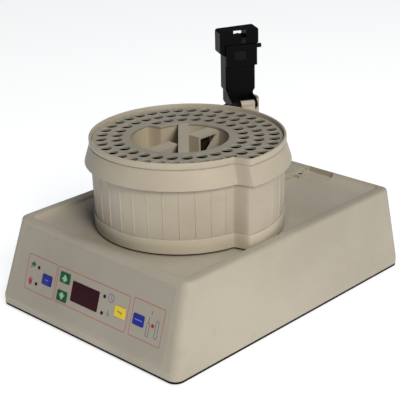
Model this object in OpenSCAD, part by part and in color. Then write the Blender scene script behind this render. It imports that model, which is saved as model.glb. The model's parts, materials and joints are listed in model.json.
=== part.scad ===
// Bench fraction collector: a wedge console, a spiral tube rack on a turntable, and a folding delivery arm.
// Millimetres, +Z up, control panel towards -Y. The origin is on the bench under the middle of the housing.

/* [Housing] */
// Width of the housing at its foot
base_w = 302; // [290:1:320]
// Depth of the housing at its foot
base_d = 412; // [400:1:430]
// Height of the rim above the lower edge of the housing
housing_h = 104.6; // [100:0.2:116]
// How far each side leans in from foot to rim
side_draft = 8; // [3:1:9]
// How far the control panel leans back
front_setback = 31; // [22:1:34]
// How far the rear face leans in
rear_setback = 15; // [10:1:18]
// Height of the upright lip round the foot
lip_h = 9.6; // [7:0.2:12]
// Wall of the housing
wall = 3; // [2.5:0.1:3.5]
// Radius of the upright corners
corner_r = 12; // [9:1:15]
// Radius of the edge round the rim
edge_r = 4; // [2:0.5:6]

/* [Deck] */
// Width of the rim beside the sunk deck
rim_w = 13; // [10:1:16]
// Width of the rim at the front and back
rim_end = 9; // [7:1:12]
// Depth of the sunk deck below the rim
deck_drop = 7; // [5:0.5:8]
// Corner radius of the sunk deck
deck_r = 6; // [4:1:10]
// Width of the tubing notch in the back rim
notch_w = 42; // [30:1:50]

/* [Pan and feet] */
// Height of the housing's lower edge above the bench
foot_h = 5.4; // [4.4:0.2:8]
// Diameter of the rubber feet
foot_d = 18; // [14:1:24]
// Thickness of the bottom pan
pan_t = 1.6; // [1.2:0.1:2]
// How far the pan shows below the housing
pan_show = 2.4; // [2.2:0.1:2.8]
// Inset of the feet from the sides of the housing
foot_inset = 26; // [22:1:40]
// Radius of the pan screws
screw_r = 1.5; // [1.2:0.1:2]

/* [Control panel] */
// Width of the printed overlay
overlay_w = 256; // [250:1:262]
// Height of the printed overlay
overlay_l = 87; // [82:1:90]
// Thickness of the printed overlay
overlay_t = 0.8; // [0.6:0.1:1]
// Distance of the overlay above the lip
overlay_low = 5; // [4:0.5:7]
// Width of a key
key_w = 17; // [14:0.5:18]
// Height of a key
key_l = 12.6; // [11:0.2:13.4]
// How far a key stands proud
key_proud = 0.7; // [0.6:0.1:1.2]
// Travel of a key
key_travel = 0.6; // [0.4:0.1:0.6]
// Height on the panel of the middle row
row_mid = 40.5; // [38:0.5:46]
// Distance between the upper and lower keys
row_step = 22; // [20:0.5:24]
// Width of the display window
window_w = 46; // [40:1:48]
// Height of the display window
window_l = 24; // [20:1:26]
// Diameter of an indicator
led_d = 4; // [3:0.5:5]
// Depth from the panel face to the key board
board_depth = 12.5; // [12:0.5:15]

/* [Rear panel] */
// Width of the rear connector plate
rear_w = 140; // [136:1:150]
// Height of the rear connector plate
rear_l = 44; // [40:1:50]
// Thickness of the rear connector plate
rear_t = 1.5; // [1:0.25:2]

/* [Rack] */
// Sideways place of the rack axis
rack_x = 8; // [4:1:12]
// Front to back place of the rack axis
rack_y = -40.5; // [-46:0.5:-36]
// Number of tube places
tube_count = 80; // [70:1:80]
// Diameter of a tube hole
hole_d = 13.5; // [12:0.1:14]
// Distance between neighbouring tubes along the spiral
tube_pitch = 16.9; // [16:0.1:18]
// Distance between neighbouring rings
ring_pitch = 18; // [17:0.1:19]
// Gap between the rack's foot and the rim beside the sunk deck
rack_side_gap = 1.6; // [1.3:0.1:4]
// Distance from the tube centres to the rack's edge
edge_margin = 14.2; // [12:0.1:15]
// Gap between the deck and the rack
rack_gap = 1.3; // [1:0.1:3]
// Height of the rack from its lower edge to its rim
rack_h = 110; // [104:1:112]
// Depth of the guide plate below the rim
plate_drop = 4.5; // [3:0.5:6]
// Thickness of the plates with the tube holes
plate_t = 3; // [2:0.5:4]
// Wall of the rack mouldings
rack_wall = 2.6; // [2:0.1:3]
// Height of the flared collar
collar_h = 23; // [18:1:28]
// How far the collar flares out
collar_flare = 6.2; // [4:0.1:7]
// Height of the ring round the rack's foot
foot_ring_h = 18.7; // [14:0.1:24]
// Number of beads round the rack body
bead_count = 36; // [24:1:40]
// Width of the bar across the hand well
bar_w = 12.4; // [10:0.2:16]
// Width of the two grip blocks beside the bar
grip_w = 18; // [14:1:22]
// Depth of the grip blocks below the guide plate
grip_drop = 4; // [2:0.5:8]

/* [Drive] */
// Gear module
gear_m = 1.6; // [1.5:0.1:1.7]
// Teeth of the large rack gear
rack_gear_teeth = 72; // [68:2:72]
// Teeth of the rack motor's pinion
rack_pinion_teeth = 18; // [18:2:20]
// Teeth of the arm's gear
swing_gear_teeth = 40; // [36:2:40]
// Teeth of the arm motor's pinion
swing_pinion_teeth = 20; // [18:2:20]
// Radius of the rack spindle
spindle_r = 8; // [6:0.5:8]
// Radius of the turntable disc
turntable_r = 55; // [45:1:60]
// Side of a motor body
motor_w = 42; // [38:1:42]

/* [Arm] */
// Distance of the arm post behind the rack axis
post_back = 150.5; // [150:0.5:154]
// Distance of the arm post to the left of the rack axis
post_left = 45; // [42:0.5:48]
// Radius of the arm post
post_r = 23.5; // [22:0.5:24]
// Wall of the arm post
post_wall = 2.6; // [2:0.1:3]
// Height of the arm post above the deck
post_h = 98.2; // [96:0.2:100]
// Turn of the arm from straight ahead, as shown
arm_turn = 59.7; // [50:0.1:70]
// Half of the width of the arm's stem
arm_half = 19.5; // [18:0.5:20]
// Thickness of the arm
arm_t = 22; // [20:0.5:22.5]
// Height of the hinge pin above the deck
hinge_up = 105; // [104.5:0.1:106]
// Distance of the hinge pin in front of the post's axis
hinge_out = 15; // [14.5:0.1:15.5]
// Radius of the hinge pin
hinge_pin_r = 2.5; // [2:0.1:3]
// Length of the arm from the hinge pin to its end
arm_len = 94.5; // [93.5:0.5:97]
// Distance from the hinge pin to the delivery nozzle
nozzle_out = 79; // [79:0.1:79.4]
// Wall of the arm's shell
arm_wall = 2.5; // [2:0.1:3]

/* [Hidden] */

$fn = 64;
// Clearances: a running fit, a seat between fixed pieces, a gap between moving faces
fit_gap = 0.05;
seat_gap = 0.3;
run_gap = 0.6;
// A cut passes this far beyond the faces that it opens
over = 1;

// Colours as the photograph shows them
beige = [0.74, 0.70, 0.61];
rack_beige = [0.77, 0.72, 0.63];
plate_grey = [0.68, 0.65, 0.59];
black = [0.05, 0.05, 0.06];
steel = [0.72, 0.73, 0.75];
board_green = [0.10, 0.38, 0.20];

// Heights above the lower edge of the housing
deck_z = housing_h - deck_drop;
ceiling_z = deck_z - wall;
pan_top = pan_t - pan_show;
// Radius of the first tube place, from the room between the rack's foot and the rim
body_inset = 3;
foot_ring_out = 1;
first_r = base_w / 2 - side_draft - rim_w - rack_x - rack_side_gap - edge_margin + body_inset - foot_ring_out;
// Slope of the control panel and of the rear face
slope_h = housing_h - lip_h;
front_lean = atan(front_setback / slope_h);
rear_lean = atan(rear_setback / slope_h);
// Places of the keys and indicators on the panel: across, and up from the middle row
run_at = [-73, -0.8];
up_at = [-43, row_step / 2];
down_at = [-43.5, -row_step / 2];
mode_at = [53.5, 0];
manual_at = [83, 0.8];
display_at = [-6, 0.4];
led_places = [[-90.5, 9.6], [-91, -10.6], [25.5, 10], [25.5, -9.4], [105, 1]];
key_r = 1.6;
key_flange = 1.4;
key_flange_t = 1.5;
wall_behind = wall * cos(front_lean);
board_t = 1.6;
switch_h = 3.5;
board_w = 216;
board_l = 56;
board_screws_at = [[-board_w / 2 + 5, -board_l / 2 + 5], [board_w / 2 - 5, -board_l / 2 + 5],
    [-board_w / 2 + 5, board_l / 2 - 5], [board_w / 2 - 5, board_l / 2 - 5]];
// Pan screw places
boss_r = 5;
boss_x = base_w / 2 - side_draft - corner_r - 1;
boss_front = -base_d / 2 + front_setback + corner_r - 2;
boss_rear = base_d / 2 - rear_setback - corner_r - 10;
boss_places = [for (sx = [-1, 1], y = [boss_front, 0, boss_rear]) [sx * boss_x, y]];

// ---- Shared shapes ----

// Everything stands on the feet
module on_feet() {
    translate([0, 0, foot_h]) children();
}

// Rectangle with round corners, centred
module round_rect(w, d, r) {
    union() {
        square([w - 2 * r, d], center = true);
        square([w, d - 2 * r], center = true);
        for (sx = [-1, 1], sy = [-1, 1]) {
            translate([sx * (w / 2 - r), sy * (d / 2 - r)]) circle(r);
        }
    }
}

// Plate with round corners between two heights
module round_plate(w, d, r, low, high) {
    translate([0, 0, low]) linear_extrude(high - low) round_rect(w, d, r);
}

module rod(r, low, high) {
    translate([0, 0, low]) cylinder(r = r, h = high - low);
}

module ring(outer, inner, low, high) {
    difference() {
        rod(outer, low, high);
        rod(inner, low - over, high + over);
    }
}

// Rod along X, centred on the axis given by y and z
module cross_rod(r, x0, x1) {
    translate([x0, 0, 0]) rotate([0, 90, 0]) cylinder(r = r, h = x1 - x0);
}

// Frame of the control panel: X across, Y up the slope, Z outwards, origin at the lip
module on_front() {
    translate([0, -base_d / 2, lip_h]) rotate([90 - front_lean, 0, 0]) children();
}

// The same with the origin in the middle row of the keys
module on_keys() {
    on_front() translate([0, row_mid, 0]) children();
}

// Frame of the rear connector plate: X across as seen from behind, Y up, Z outwards
rear_x = 62;
rear_up = 44;
module on_rear() {
    translate([rear_x, base_d / 2, lip_h]) rotate([0, 0, 180]) rotate([90 - rear_lean, 0, 0])
        translate([0, rear_up, 0]) children();
}

// ---- Gears ----

pressure = 20;
backlash = 0.3;
function inv(a) = tan(a) * 180 / PI - a;
function gear_r(teeth) = gear_m * teeth / 2;
function polar(r, a) = [r * cos(a), r * sin(a)];
// Half of a tooth's angle at a radius
function half_tooth(teeth, r) =
    let (pitch_r = gear_r(teeth), base_r = pitch_r * cos(pressure))
    90 / teeth - backlash / (2 * pitch_r) * 180 / PI + inv(pressure) - inv(acos(min(1, base_r / max(r, base_r))));
flank_steps = 4;
module gear_outline(teeth, phase) {
    pitch_r = gear_r(teeth);
    tip = pitch_r + 0.9 * gear_m;
    root = pitch_r - 1.2 * gear_m;
    start = max(root, pitch_r * cos(pressure));
    radii = concat([root], [for (k = [0:flank_steps]) start + (tip - start) * k / flank_steps]);
    last = len(radii) - 1;
    polygon([for (i = [0:teeth - 1], k = [0:2 * last + 1])
        let (up = k <= last, r = radii[up ? k : 2 * last + 1 - k])
        polar(r, phase + 360 / teeth * i + (up ? -1 : 1) * half_tooth(teeth, r))]);
}

module gear(teeth, bore, low, high, phase) {
    difference() {
        translate([0, 0, low]) linear_extrude(high - low) gear_outline(teeth, phase);
        rod(bore, low - over, high + over);
    }
}

// ---- Housing ----

// Corner piece of the rim, rounded over its top edge
module rim_corner(r, top) {
    translate([0, 0, top - edge_r]) rotate_extrude($fn = 32) {
        square([r - edge_r, edge_r]);
        translate([r - edge_r, 0]) intersection() {
            circle(edge_r, $fn = 24);
            square(edge_r);
        }
    }
}

module housing_body(inset, low, top, rounded) {
    r = corner_r - inset;
    foot_x = base_w / 2 - corner_r;
    foot_y = base_d / 2 - corner_r;
    level = rounded ? top - edge_r : top - 1;
    lean = (level - lip_h) / slope_h;
    top_x = foot_x - lean * side_draft;
    hull() {
        for (sx = [-1, 1], sy = [-1, 1]) {
            translate([sx * foot_x, sy * foot_y, low]) cylinder(r = r, h = lip_h - low, $fn = 32);
        }
        for (sx = [-1, 1], y = [lean * front_setback - foot_y, foot_y - lean * rear_setback]) {
            translate([sx * top_x, y, 0]) {
                if (rounded) rim_corner(r, top);
                else translate([0, 0, level]) cylinder(r = r, h = 1, $fn = 32);
            }
        }
    }
}

deck_w = base_w - 2 * side_draft - 2 * rim_w;
deck_front = -base_d / 2 + front_setback + rim_end;
deck_back = base_d / 2 - rear_setback - rim_end;
deck_l = deck_back - deck_front;
deck_mid = (deck_back + deck_front) / 2;
notch_x = rack_x + 7;
notch_wall = 3;

module key_hole(at, gap, low) {
    translate([at[0], at[1], 0]) round_plate(key_w + 2 * gap, key_l + 2 * gap, key_r + gap, low, over);
}

module each_key_hole(gap, low) {
    for (at = [run_at, up_at, down_at, mode_at, manual_at]) key_hole(at, gap, low);
}

bearing_outer = spindle_r + 10;
bushing_r = 14;
post_x = rack_x - post_left;
post_y = rack_y + post_back;

module top_housing() {
    color(beige) difference() {
        union() {
            difference() {
                housing_body(0, 0, housing_h, true);
                housing_body(wall, -over, ceiling_z, false);
            }
            // Screw bosses from the pan to the deck
            for (p = boss_places) translate([p[0], p[1], 0]) rod(boss_r, pan_top, deck_z - 1);
            // Bosses that carry the key board
            for (p = board_screws_at) {
                on_keys() translate([p[0], p[1], 0]) rod(3, -board_depth, -wall_behind + 0.5);
            }
        }
        // Sunk deck
        translate([0, deck_mid, 0]) round_plate(deck_w, deck_l, deck_r, deck_z, housing_h + over);
        // Tubing notch in the back rim
        translate([notch_x, deck_back - deck_r, deck_z])
            cube([notch_w, rim_end + deck_r - notch_wall, deck_drop + over]);
        // Holes for the rack bearing and the arm bushing
        translate([rack_x, rack_y, 0]) rod(bearing_outer + seat_gap, ceiling_z - over, deck_z + over);
        translate([post_x, post_y, 0]) rod(bushing_r + seat_gap, ceiling_z - over, deck_z + over);
        // Pan screws
        for (p = boss_places) translate([p[0], p[1], 0]) rod(screw_r + fit_gap, -pan_show, 12);
        // Seat of the overlay, and what shows through it
        on_front() translate([0, overlay_low + overlay_l / 2, 0])
            round_plate(overlay_w + 2 * seat_gap, overlay_l + 2 * seat_gap, 4, -overlay_t + 0.2, over);
        on_keys() {
            each_key_hole(run_gap, -wall_behind - over);
            translate([display_at[0], display_at[1], 0]) {
                round_plate(window_w + 2 * seat_gap, window_l + 2 * seat_gap, 1.5, -1.8, over);
                round_plate(window_w - 3, window_l - 3, 1, -wall_behind - over, over);
            }
            for (p = led_places) translate([p[0], p[1], 0]) rod(led_d / 2 + seat_gap, -wall_behind - over, over);
            for (p = board_screws_at) translate([p[0], p[1], 0]) rod(1.2 + fit_gap, -board_depth - over, -5);
        }
        // Seat and window of the rear connector plate
        on_rear() {
            round_plate(rear_w + 2 * seat_gap, rear_l + 2 * seat_gap, 3, -rear_t, over);
            round_plate(rear_w - 8, rear_l - 8, 2, -wall - 2, over);
        }
    }
}

pan_inset = 0.2;
foot_places = [for (sx = [-1, 1], sy = [-1, 1]) [sx * (base_w / 2 - foot_inset), sy * (base_d / 2 - foot_inset)]];

// Shallow tray under the housing, with its edge showing all round
module bottom_pan() {
    color(black) difference() {
        round_plate(base_w - 2 * pan_inset, base_d - 2 * pan_inset, corner_r - pan_inset, -pan_show, 0);
        round_plate(base_w - 2 * wall, base_d - 2 * wall, corner_r - wall, pan_top, over);
        for (p = boss_places) translate([p[0], p[1], 0]) rod(screw_r + fit_gap, -pan_show - over, pan_top + over);
        for (p = foot_places) translate([p[0], p[1], 0]) rod(foot_d / 4 + fit_gap, -pan_show - over, pan_top + over);
    }
}

module rubber_feet() {
    color([0.08, 0.08, 0.08]) for (p = foot_places) translate([p[0], p[1], 0]) {
        rod(foot_d / 2, -foot_h, -pan_show);
        rod(foot_d / 4, -pan_show - 0.01, pan_top);
    }
}

module pan_screws() {
    color(steel) for (p = boss_places) translate([p[0], p[1], 0]) {
        rod(2 * screw_r, -pan_show - screw_r, -pan_show);
        rod(screw_r, -pan_show - 0.01, 11);
    }
}

// ---- Control panel ----

module front_overlay() {
    color([0.70, 0.66, 0.58]) difference() {
        on_front() translate([0, overlay_low + overlay_l / 2, 0])
            round_plate(overlay_w, overlay_l, 4, 0.2 - overlay_t, 0.2);
        on_keys() {
            each_key_hole(seat_gap, -wall_behind);
            translate([display_at[0], display_at[1], 0])
                round_plate(window_w + 2 * seat_gap, window_l + 2 * seat_gap, 1.5, -3, over);
            for (p = led_places) translate([p[0], p[1], 0]) rod(led_d / 2 + seat_gap, -3, over);
        }
    }
}

module display_window() {
    color([0.28, 0.06, 0.10]) on_keys() translate([display_at[0], display_at[1], 0])
        round_plate(window_w, window_l, 1.2, -1.8, 0.3);
}

module display_module() {
    color([0.15, 0.15, 0.15]) on_keys() translate([display_at[0], display_at[1], 0])
        round_plate(window_w - 4, window_l - 4, 1, -board_depth, -1.9);
}

module indicator_leds() {
    color([0.10, 0.05, 0.05]) on_keys() for (p = led_places) translate([p[0], p[1], 0])
        rod(led_d / 2, -board_depth, 0.5);
}

// A key: cap, flange behind the wall and stem down to its switch
module key(at, paint) {
    color(paint) on_keys() translate([at[0], at[1], 0]) {
        round_plate(key_w, key_l, key_r, -wall_behind - 0.4, key_proud);
        round_plate(key_w + 2 * key_flange, key_l + 2 * key_flange, key_r, -wall_behind - 0.2 - key_flange_t,
            -wall_behind - 0.2);
        rod(2, -board_depth + switch_h + key_travel + 0.1, -wall_behind - 0.2);
    }
}

module run_key() { key(run_at, [0.30, 0.42, 0.66]); }
module up_key() { key(up_at, [0.33, 0.52, 0.44]); }
module down_key() { key(down_at, [0.33, 0.52, 0.44]); }
module mode_key() { key(mode_at, [0.80, 0.66, 0.24]); }
module manual_key() { key(manual_at, [0.30, 0.42, 0.66]); }

module key_board() {
    color(board_green) on_keys() difference() {
        round_plate(board_w, board_l, 2, -board_depth - board_t, -board_depth);
        for (p = board_screws_at) translate([p[0], p[1], 0]) rod(1.2 + fit_gap, -board_depth - 3, 0);
    }
}

module key_switches() {
    color(black) on_keys() for (at = [run_at, up_at, down_at, mode_at, manual_at]) translate([at[0], at[1], 0]) {
        round_plate(6, 6, 0.5, -board_depth, -board_depth + switch_h - 1);
        rod(1.7, -board_depth + switch_h - 1.01, -board_depth + switch_h);
    }
}

// ---- Inside the housing ----

control_at = [-78, -70];
control_w = 96;
control_l = 120;
control_low = pan_top + 6;
control_screws_at = [for (sx = [-1, 1], sy = [-1, 1]) [sx * (control_w / 2 - 5), sy * (control_l / 2 - 5)]];

module board_screws() {
    color(steel) {
        on_keys() for (p = board_screws_at) translate([p[0], p[1], 0]) {
            rod(2.4, -board_depth - board_t - 1.6, -board_depth - board_t);
            rod(1.2, -board_depth - board_t - 0.01, -6);
        }
        translate([control_at[0], control_at[1], 0]) for (p = control_screws_at) translate([p[0], p[1], 0]) {
            rod(2.4, control_low + board_t, control_low + board_t + 1.6);
            rod(1.2, pan_top + 1, control_low + board_t + 0.01);
        }
    }
}

module control_board() {
    color(board_green) translate([control_at[0], control_at[1], 0]) {
        difference() {
            round_plate(control_w, control_l, 2, control_low, control_low + board_t);
            for (p = control_screws_at) translate([p[0], p[1], 0]) rod(1.2 + fit_gap, 0, control_low + 5);
        }
        // Processor, memory, driver and terminal blocks
        translate([-10, 12, control_low + board_t]) cube([34, 14, 4]);
        translate([-34, -22, control_low + board_t]) cube([16, 30, 4]);
        translate([-8, -40, control_low + board_t]) cube([40, 12, 12]);
        translate([-30, 36, control_low + board_t]) cube([54, 9, 10]);
    }
}

module board_pillars() {
    color([0.85, 0.84, 0.80]) translate([control_at[0], control_at[1], 0])
        for (p = control_screws_at) translate([p[0], p[1], 0]) ring(3, 1.2 + fit_gap, pan_top, control_low);
}

transformer_at = [85, 110];
module transformer() {
    color([0.45, 0.42, 0.38]) translate([transformer_at[0], transformer_at[1], pan_top]) {
        translate([-33, -22, 0]) cube([66, 44, 3]);
        translate([-24, -22, 2.99]) cube([48, 44, 40]);
        translate([-20, -30, 8]) cube([40, 60, 28]);
    }
}

// ---- Rear panel ----

inlet_x = -48;
switch_x = -14;
fuse_x = 14;
signal_x = 42;
inlet_w = 28;
inlet_l = 20;
inlet_depth = 22;
rocker_w = 11;
rocker_l = 18;
frame_w = 16;
frame_l = 23;
fuse_r = 6;
signal_r = 8;

module rear_panel() {
    color([0.62, 0.62, 0.60]) on_rear() difference() {
        round_plate(rear_w, rear_l, 3, -rear_t, 0);
        translate([inlet_x, 0, 0]) round_plate(inlet_w + 2 * fit_gap, inlet_l + 2 * fit_gap, 3, -5, over);
        translate([switch_x, 0, 0]) round_plate(frame_w + 2 * fit_gap, frame_l + 2 * fit_gap, 1, -5, over);
        translate([fuse_x, 0, 0]) rod(fuse_r + fit_gap, -5, over);
        translate([signal_x, 0, 0]) rod(signal_r + fit_gap, -5, over);
    }
}

module mains_inlet() {
    color(black) on_rear() translate([inlet_x, 0, 0]) {
        difference() {
            union() {
                round_plate(inlet_w, inlet_l, 3, -inlet_depth, 0.01);
                round_plate(inlet_w + 6, inlet_l + 6, 4, 0, 2);
            }
            round_plate(inlet_w - 5, inlet_l - 5, 3, -16, 2 + over);
        }
        // Line, neutral and earth blades
        for (p = [[-7, -2], [7, -2], [0, 2]]) translate([p[0] - 1, p[1] - 2, -16.5]) cube([2, 4, 13]);
    }
}

module switch_frame() {
    color(black) on_rear() translate([switch_x, 0, 0]) difference() {
        union() {
            round_plate(frame_w, frame_l, 1, -16, 0.01);
            round_plate(frame_w + 3, frame_l + 3, 2, 0, 1.5);
        }
        round_plate(rocker_w + 2 * run_gap, rocker_l + 2 * run_gap, 0.8, -12, 1.5 + over);
        translate([-rocker_w / 2 - 2, 0, -3]) cross_rod(1.5 + fit_gap, 0, rocker_w + 4);
    }
}

rocker_tilt = 8;
module power_rocker() {
    color(black) on_rear() translate([switch_x, 0, -3]) rotate([rocker_tilt, 0, 0]) {
        translate([-rocker_w / 2, -rocker_l / 2 + 0.4, -1]) cube([rocker_w, rocker_l - 0.8, 4.6]);
        cross_rod(1.5, -rocker_w / 2 - 1.8, rocker_w / 2 + 1.8);
    }
}

module fuse_holder() {
    color(black) on_rear() translate([fuse_x, 0, 0]) {
        rod(fuse_r, -24, 0.01);
        difference() {
            rod(fuse_r + 1.5, 0, 4.5);
            translate([-4, -0.6, 3.5]) cube([8, 1.2, 2]);
        }
    }
}

module signal_socket() {
    color(steel) on_rear() translate([signal_x, 0, 0]) {
        difference() {
            union() {
                rod(signal_r, -14, 0.01);
                rod(signal_r + 2, 0, 2);
            }
            rod(signal_r - 1.5, -8, 2 + over);
        }
        for (a = [30:60:330]) rotate([0, 0, a]) translate([4, 0, 0]) rod(0.7, -8.5, -1);
    }
}

// ---- Rack drive ----

flange_t = 1.5;
bearing_low = 68;
bearing_h = 8;
disc_low = deck_z + flange_t + 0.5;
disc_t = 4;
rack_low = deck_z + rack_gap;
floor_low = disc_low + disc_t + 0.1;
gear_low = 54;
gear_t = 5.5;
drive_centres = gear_r(rack_gear_teeth) + gear_r(rack_pinion_teeth);
shoulder = 2;
dog_r = 4;
dog_at = turntable_r - 14;
boss_h = 7;

module at_rack() {
    translate([rack_x, rack_y, 0]) children();
}

module bearing_housing() {
    color(steel) at_rack() difference() {
        union() {
            rod(bearing_outer, bearing_low, deck_z + 0.01);
            rod(bearing_outer + 12, deck_z, deck_z + flange_t);
        }
        rod(spindle_r + 6, bearing_low - over, deck_z + flange_t + over);
        rod(bearing_outer - shoulder, bearing_low - over, bearing_low + bearing_h);
        rod(bearing_outer - shoulder, deck_z - bearing_h, deck_z + flange_t + over);
    }
}

module spindle_bearings() {
    color([0.80, 0.81, 0.83]) at_rack() {
        ring(bearing_outer - shoulder - fit_gap, spindle_r + fit_gap, bearing_low, bearing_low + bearing_h - fit_gap);
        ring(bearing_outer - shoulder - fit_gap, spindle_r + fit_gap, deck_z - bearing_h + fit_gap, deck_z);
    }
}

module turntable() {
    color([0.35, 0.35, 0.36]) at_rack() {
        rod(spindle_r, gear_low - 2, disc_low + 0.01);
        rod(turntable_r, disc_low, disc_low + disc_t);
        rod(12, disc_low + disc_t - 0.01, disc_low + disc_t + boss_h);
        for (a = [0, 180]) rotate([0, 0, a]) translate([dog_at, 0, 0])
            rod(dog_r, disc_low + disc_t - 0.01, disc_low + disc_t + boss_h - 1);
    }
}

module rack_drive_gear() {
    color([0.88, 0.86, 0.80]) at_rack() {
        difference() {
            gear(rack_gear_teeth, spindle_r + fit_gap, gear_low, gear_low + gear_t, 0);
            for (a = [0:60:300]) rotate([0, 0, a]) translate([gear_r(rack_gear_teeth) * 0.58, 0, 0])
                rod(11, gear_low - over, gear_low + gear_t + over);
        }
        ring(spindle_r + 5, spindle_r + fit_gap, gear_low + gear_t - 0.01, gear_low + gear_t + 4);
    }
}

shaft_r = 2.5;
shaft_in = 12;
motor_h = 36;
leg_r = 4;

// Square gear motor hung under a plate, with its shaft standing up through it
module motor(top) {
    difference() {
        union() {
            round_plate(motor_w, motor_w, 5, top - motor_h, top);
            rod(11, top - 0.01, top + 2);
        }
        for (sx = [-1, 1], sy = [-1, 1]) translate([sx * 15, sy * 15, 0]) rod(1.5, top - 4, top + over);
        rod(shaft_r + fit_gap, top - shaft_in, top + 2 + over);
    }
}

module motor_bracket(top) {
    difference() {
        round_plate(motor_w + 22, motor_w + 22, 4, top, top + 3);
        rod(11 + fit_gap, top - over, top + 3 + over);
    }
    for (sx = [-1, 1], sy = [-1, 1]) translate([sx * (motor_w / 2 + 6.5), sy * (motor_w / 2 + 6.5), 0])
        rod(leg_r, pan_top, top + 0.01);
}

module motor_pinion(teeth, low, top, phase) {
    color(steel) rod(shaft_r, top - shaft_in + 0.2, low + gear_t);
    color([0.75, 0.62, 0.30]) gear(teeth, shaft_r - 0.5, low, low + gear_t, phase);
}

rack_plate_z = gear_low - 8;
module at_rack_motor() {
    translate([rack_x + drive_centres, rack_y, 0]) children();
}

module rack_motor() { color([0.30, 0.30, 0.32]) at_rack_motor() motor(rack_plate_z); }
module rack_motor_bracket() { color(steel) at_rack_motor() motor_bracket(rack_plate_z); }
module rack_pinion() {
    at_rack_motor() motor_pinion(rack_pinion_teeth, gear_low, rack_plate_z, 180 / rack_pinion_teeth);
}

// ---- Arm drive ----

swing_centres = gear_r(swing_gear_teeth) + gear_r(swing_pinion_teeth);
bushing_deep = 4;
swing_drop = 7.1;
swing_low = ceiling_z - bushing_deep - swing_drop - gear_t;
swing_plate_z = swing_low - 8;
journal_r = 10;
plinth_h = deck_drop;
plinth_wall = 2.5;
plinth_right = rack_x + 6;
plinth_left = post_x - 58;
plinth_front = rack_y + first_r + edge_margin + 4;
plinth_back = deck_back - seat_gap;
lug_w = 9;
lug_l = 13;
lug_h = 4;
lug_y = plinth_back - 24;

module at_post() {
    translate([post_x, post_y, 0]) children();
}

module at_swing_motor() {
    translate([post_x - swing_centres, post_y, 0]) children();
}

module arm_plinth() {
    color(beige) difference() {
        union() {
            difference() {
                translate([plinth_left, plinth_front, deck_z])
                    cube([plinth_right - plinth_left, plinth_back - plinth_front, plinth_h]);
                translate([plinth_left + plinth_wall, plinth_front + plinth_wall, deck_z - over])
                    cube([plinth_right - plinth_left - 2 * plinth_wall, plinth_back - plinth_front - 2 * plinth_wall,
                        plinth_h - plinth_wall + over]);
            }
            translate([plinth_right - 0.01, lug_y, deck_z]) cube([lug_w, lug_l, lug_h]);
            at_post() rod(bushing_r + 4, deck_z, deck_z + plinth_h - 1);
        }
        at_post() rod(bushing_r + fit_gap, deck_z - over, deck_z + plinth_h + over);
        translate([plinth_right + lug_w / 2, lug_y + lug_l / 2, 0]) {
            rod(1.4 + fit_gap, deck_z - over, deck_z + lug_h + over);
            rod(2.6 + fit_gap, deck_z + lug_h - 1.6, deck_z + lug_h + over);
        }
    }
}

module plinth_screw() {
    color([0.2, 0.2, 0.2]) translate([plinth_right + lug_w / 2, lug_y + lug_l / 2, 0]) difference() {
        union() {
            rod(2.6, deck_z + lug_h - 1.6, deck_z + lug_h - 0.4);
            rod(1.4, deck_z, deck_z + lug_h - 1.59);
        }
        translate([-2, -0.4, deck_z + lug_h - 0.9]) cube([4, 0.8, 1]);
    }
}

module post_bushing() {
    color([0.72, 0.60, 0.34]) at_post() {
        ring(bushing_r, journal_r + fit_gap, ceiling_z - bushing_deep, deck_z + plinth_h + 0.01);
        ring(bushing_r + 4, journal_r + fit_gap, deck_z + plinth_h, deck_z + plinth_h + 0.6);
    }
}

module swing_gear() {
    color([0.88, 0.86, 0.80]) at_post() gear(swing_gear_teeth, journal_r + fit_gap, swing_low, swing_low + gear_t, 0);
}

module swing_motor() { color([0.30, 0.30, 0.32]) at_swing_motor() motor(swing_plate_z); }
module swing_motor_bracket() { color(steel) at_swing_motor() motor_bracket(swing_plate_z); }
module swing_pinion() {
    at_swing_motor() motor_pinion(swing_pinion_teeth, swing_low, swing_plate_z, 180 / swing_pinion_teeth);
}

// ---- Rack ----

// The tube places run down a spiral. Its angle is counted from the step in the rack's edge.
step_turn = -8;
first_angle = 8.3;
step_span = 6.5;
turns_step = 3;
function hole_r(a) = first_r - ring_pitch * (a - first_angle) / 360;
hole_angles = [for (i = 0, a = first_angle; i < tube_count; a = a + tube_pitch / hole_r(a) * 180 / PI, i = i + 1) a];
last_angle = hole_angles[tube_count - 1] + 12;
function edge_r_at(a) = hole_r(a) + edge_margin;
function smooth(t) = t * t * (3 - 2 * t);
// Outer edge: one turn of the spiral, closed by a smooth step outwards
function rack_edge(out) = concat(
    [for (a = [0:turns_step:360 - step_span]) polar(edge_r_at(a) + out, a)],
    [for (k = [1:7]) let (t = k / 8, a = 360 - step_span + step_span * t)
        polar(edge_r_at(a) + ring_pitch * smooth(t) + out, a)]);
// Edge of the hand well: the spiral's last turn, drawn in by the same margin
well_span = 9;
function well_edge(out) = concat(
    [for (a = [0:turns_step:360 - well_span]) polar(hole_r(last_angle - 360 + a) - edge_margin + out, last_angle + a)],
    [for (k = [1:7]) let (t = k / 8, a = 360 - well_span + well_span * t)
        polar(hole_r(last_angle - 360 + a) - edge_margin + ring_pitch * smooth(t) + out, last_angle + a)]);

rim_top = rack_low + rack_h;
plate_top = rim_top - plate_drop;
plate_low = plate_top - plate_t;
band_low = plate_low;
collar_low = band_low - collar_h;
mean_r = first_r + edge_margin - ring_pitch / 2;
well_wall = rack_wall;

module on_rack() {
    at_rack() rotate([0, 0, step_turn]) children();
}

module edge_slab(out, low, high) {
    translate([0, 0, low]) linear_extrude(high - low) polygon(rack_edge(out));
}

module well_slab(out, low, high) {
    translate([0, 0, low]) linear_extrude(high - low) polygon(well_edge(out));
}

// Wall that widens evenly from its lower to its upper edge
module tapered_slab(out_low, out_high, low, high) {
    translate([0, 0, low]) linear_extrude(high - low, scale = (mean_r + out_high) / (mean_r + out_low))
        polygon(rack_edge(out_low));
}

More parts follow.
